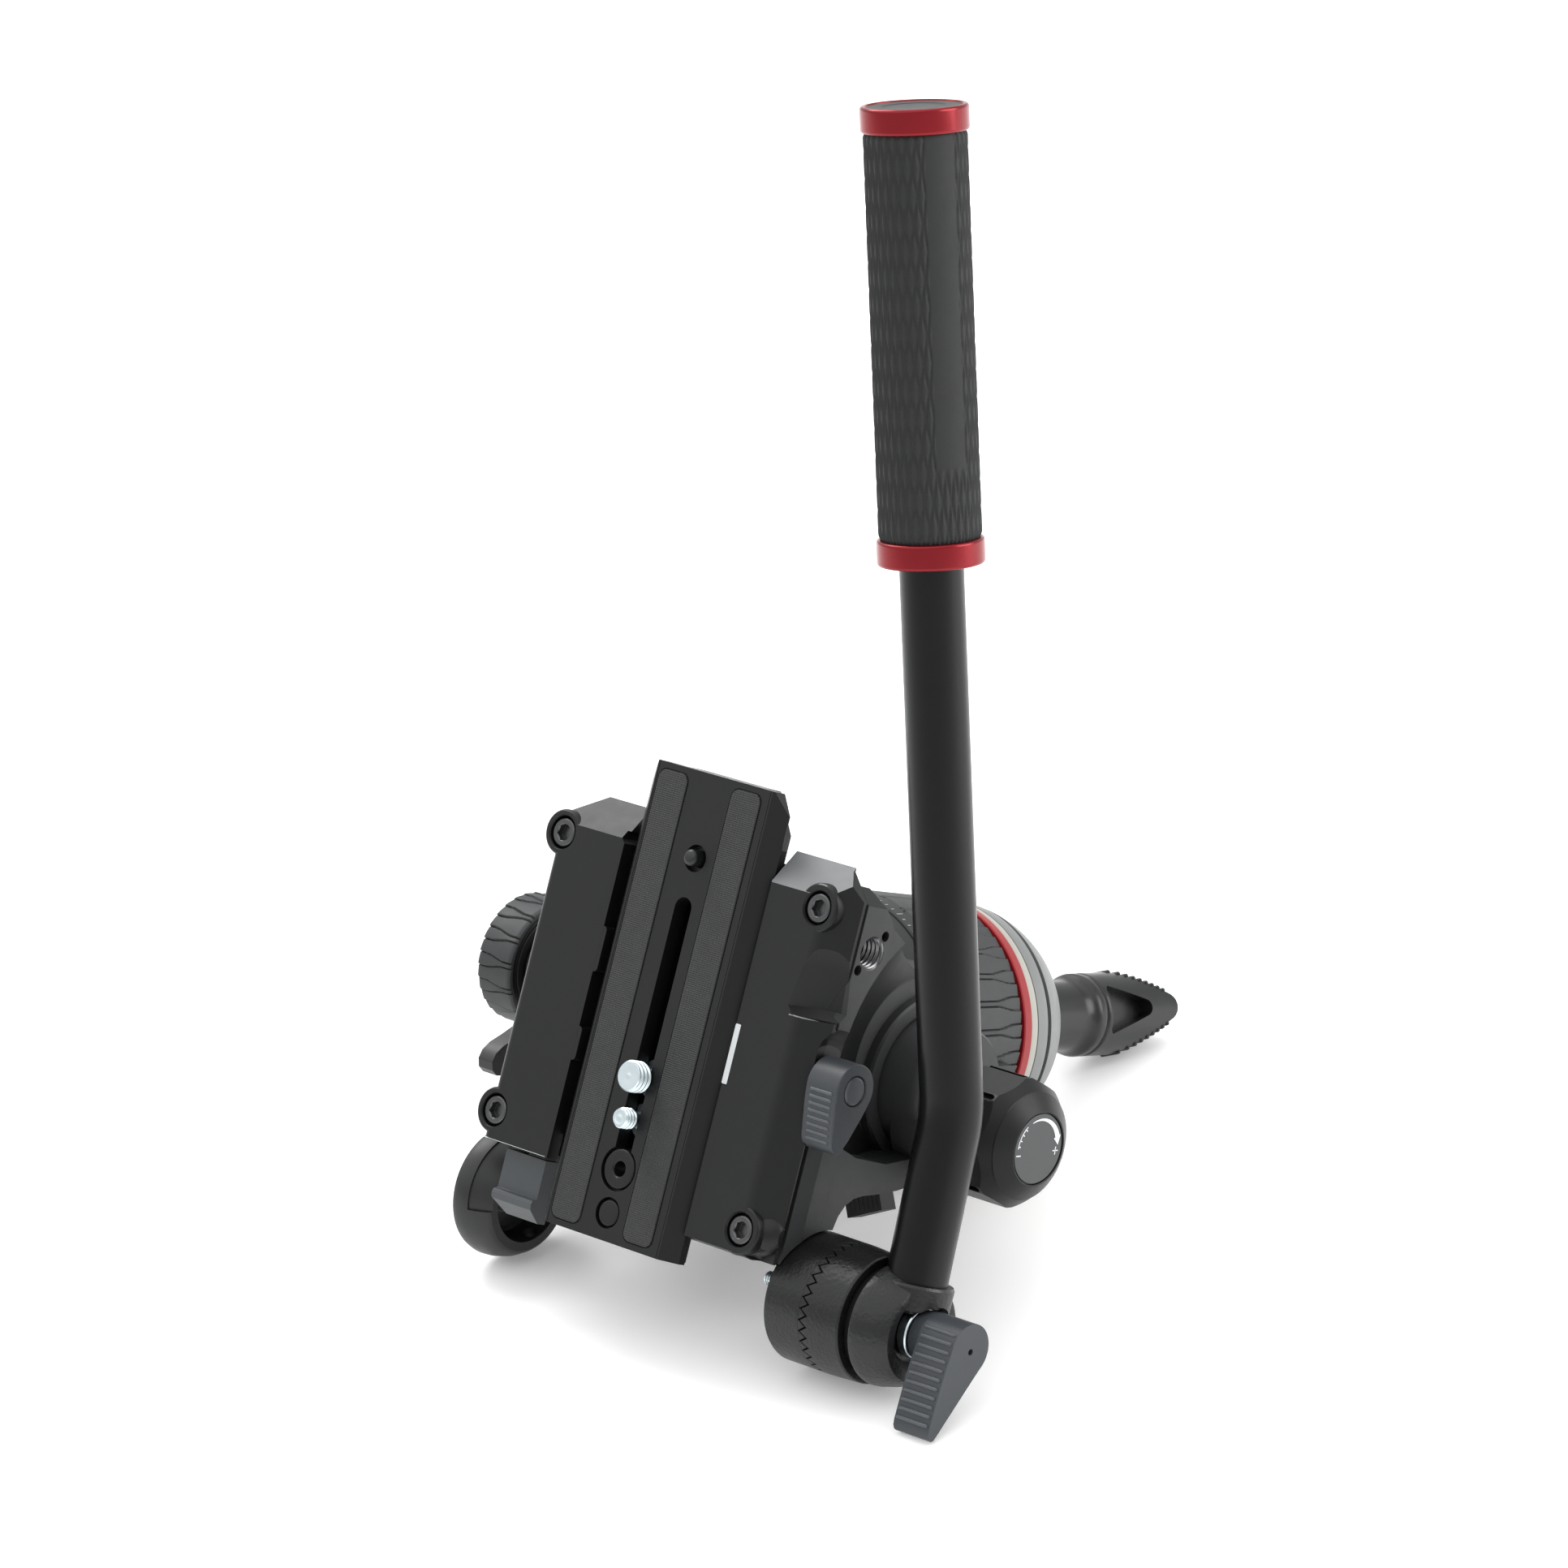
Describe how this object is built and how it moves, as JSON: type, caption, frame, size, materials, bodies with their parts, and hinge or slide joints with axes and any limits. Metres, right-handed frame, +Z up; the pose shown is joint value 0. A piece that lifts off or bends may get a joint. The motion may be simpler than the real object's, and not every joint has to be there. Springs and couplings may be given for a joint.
{
  "type": "fluid video head",
  "caption": "Fluid video tripod head with a sliding camera plate on a tilting deck, a half-ball base with tie-down knob, drag controls and a folded pan bar with a rubber grip.",
  "frame": {"origin": "centre of the 75 mm half ball, on the pan axis", "axes": "+Z up along the pan axis, +X to the operator's right along the tilt axis, +Y to the front, the way the lens looks"},
  "size_m": [0.2386, 0.3772, 0.264],
  "materials": {
    "casting": "black powder coat, satin",
    "ball": "grey anodised, matte",
    "cream": "pale, matte",
    "red": "red anodised, satin",
    "steel": "turned",
    "dark_steel": "black oxide",
    "bright": "bright zinc",
    "black_plastic": "fine grain",
    "slate": "slate grey, satin",
    "rubber": "ribbed, matte",
    "pad": "fine woven face",
    "plate_black": "black anodised",
    "tube_black": "black anodised, smooth",
    "bronze": "plain bearing",
    "vial": "clear with tinted fluid",
    "disc": "matte"
  },
  "bodies": {
    "base": {"half_ball": "ball", "ball_ring": "cream", "red_ring": "red", "pan_post": "steel", "tie_down_stud": "steel"},
    "tie_down": {"tie_down_washer": "black_plastic", "tie_down_knob": "black_plastic"},
    "pan": {"pan_housing": "casting", "tilt_hub_right": "casting", "tilt_hub_left": "casting", "cb_housing": "casting", "bubble_holder": "black_plastic", "bubble_vial": "vial"},
    "pan_drag": {"pan_drag_ring": "rubber"},
    "pan_lock": {"pan_lock_lever": "slate"},
    "counterbalance": {"cb_knob": "black_plastic", "cb_disc": "disc"},
    "tilt_drag": {"tilt_drag_hub": "black_plastic", "tilt_drag_rubber": "rubber"},
    "tilt_lock": {"tilt_lock_lever": "black_plastic"},
    "tilt": {"deck": "casting", "arm_right": "casting", "arm_left": "casting", "bearing_right": "bronze", "bearing_left": "bronze", "wing_left": "casting", "wing_right": "casting", "screw_fl": "dark_steel", "screw_rl": "dark_steel", "screw_fr": "dark_steel", "screw_rr": "dark_steel", "clamp_pad": "bright", "link_bush": "bright", "rosette_right": "casting", "rosette_left": "casting", "rosette_screw": "steel"},
    "release": {"side_jaw": "plate_black", "release_button": "slate"},
    "slide_lock": {"slide_lever": "slate", "slide_spindle": "steel", "slide_cap": "slate"},
    "plate": {"camera_plate": "plate_black", "pad_left": "pad", "pad_right": "pad", "plate_bush": "plate_black", "plate_plug": "plate_black"},
    "twist_pin": {"anti_twist_pin": "steel"},
    "camera_screw_38": {"screw_38": "bright"},
    "camera_screw_14": {"screw_14": "bright"},
    "bar": {"clamp_inner": "casting", "clamp_spacer": "black_plastic", "clamp_outer": "casting", "clamp_washer": "bright", "bar_tube": "tube_black", "grip": "rubber", "grip_ring_low": "red", "grip_ring_top": "red"},
    "bar_lock": {"clamp_lever": "slate", "clamp_bolt": "steel"}
  },
  "joints": [
    {"name": "pan_turn", "type": "hinge", "parent": "base", "child": "pan", "pos_m": [0, 0, 0], "axis": [0, 0, 1], "continuous": true},
    {"name": "tie_down_turn", "type": "hinge", "parent": "base", "child": "tie_down", "pos_m": [0, 0, -0.07], "axis": [0, 0, 1], "continuous": true},
    {"name": "pan_drag_turn", "type": "hinge", "parent": "pan", "child": "pan_drag", "pos_m": [0, 0, 0.0225], "axis": [0, 0, 1], "range_deg": [-60, 60]},
    {"name": "pan_lock_turn", "type": "hinge", "parent": "pan", "child": "pan_lock", "pos_m": [0.01871, -0.04202, 0.0445], "axis": [0.4067, -0.9135, 0], "range_deg": [-20, 20]},
    {"name": "counterbalance_turn", "type": "hinge", "parent": "pan", "child": "counterbalance", "pos_m": [0.08, -0.01385, 0.05984], "axis": [1, 0, 0], "range_deg": [-135, 135]},
    {"name": "tilt_drag_turn", "type": "hinge", "parent": "pan", "child": "tilt_drag", "pos_m": [-0.112, -0.0044, 0.0602], "axis": [1, 0, 0], "range_deg": [-100, 100]},
    {"name": "tilt_lock_turn", "type": "hinge", "parent": "pan", "child": "tilt_lock", "pos_m": [-0.0885, -0.0044, 0.0602], "axis": [1, 0, 0], "range_deg": [-25, 25]},
    {"name": "tilt_turn", "type": "hinge", "parent": "pan", "child": "tilt", "pos_m": [0, -0.0044, 0.0602], "axis": [1, 0, 0], "range_deg": [-61.8, 98.2]},
    {"name": "release_press", "type": "slide", "parent": "tilt", "child": "release", "axis": [-1, 0, 0], "range_m": [0, 0.003], "stiffness_N_per_m": 1500, "springref_m": -0.002},
    {"name": "slide_lock_turn", "type": "hinge", "parent": "tilt", "child": "slide_lock", "pos_m": [0.065, -0.00027, 0.11618], "axis": [1, 0, 0], "range_deg": [-83, 7]},
    {"name": "plate_slide", "type": "slide", "parent": "tilt", "child": "plate", "axis": [0, 0.9898, -0.1426], "range_m": [-0.028, 0.028]},
    {"name": "twist_pin_press", "type": "slide", "parent": "plate", "child": "twist_pin", "axis": [0, -0.1426, -0.9898], "range_m": [0, 0.003], "stiffness_N_per_m": 800, "springref_m": -0.001},
    {"name": "screw_38_slide", "type": "slide", "parent": "plate", "child": "camera_screw_38", "axis": [0, 0.9898, -0.1426], "range_m": [0, 0.045]},
    {"name": "screw_14_slide", "type": "slide", "parent": "plate", "child": "camera_screw_14", "axis": [0, 0.9898, -0.1426], "range_m": [-0.0034, 0.0008]},
    {"name": "bar_turn", "type": "hinge", "parent": "tilt", "child": "bar", "pos_m": [0.08, -0.0645, 0.10725], "axis": [1, 0, 0], "range_deg": [-5, 235]},
    {"name": "bar_lock_turn", "type": "hinge", "parent": "bar", "child": "bar_lock", "pos_m": [0.11, -0.0645, 0.10725], "axis": [1, 0, 0], "range_deg": [-150, 30]}
  ]
}
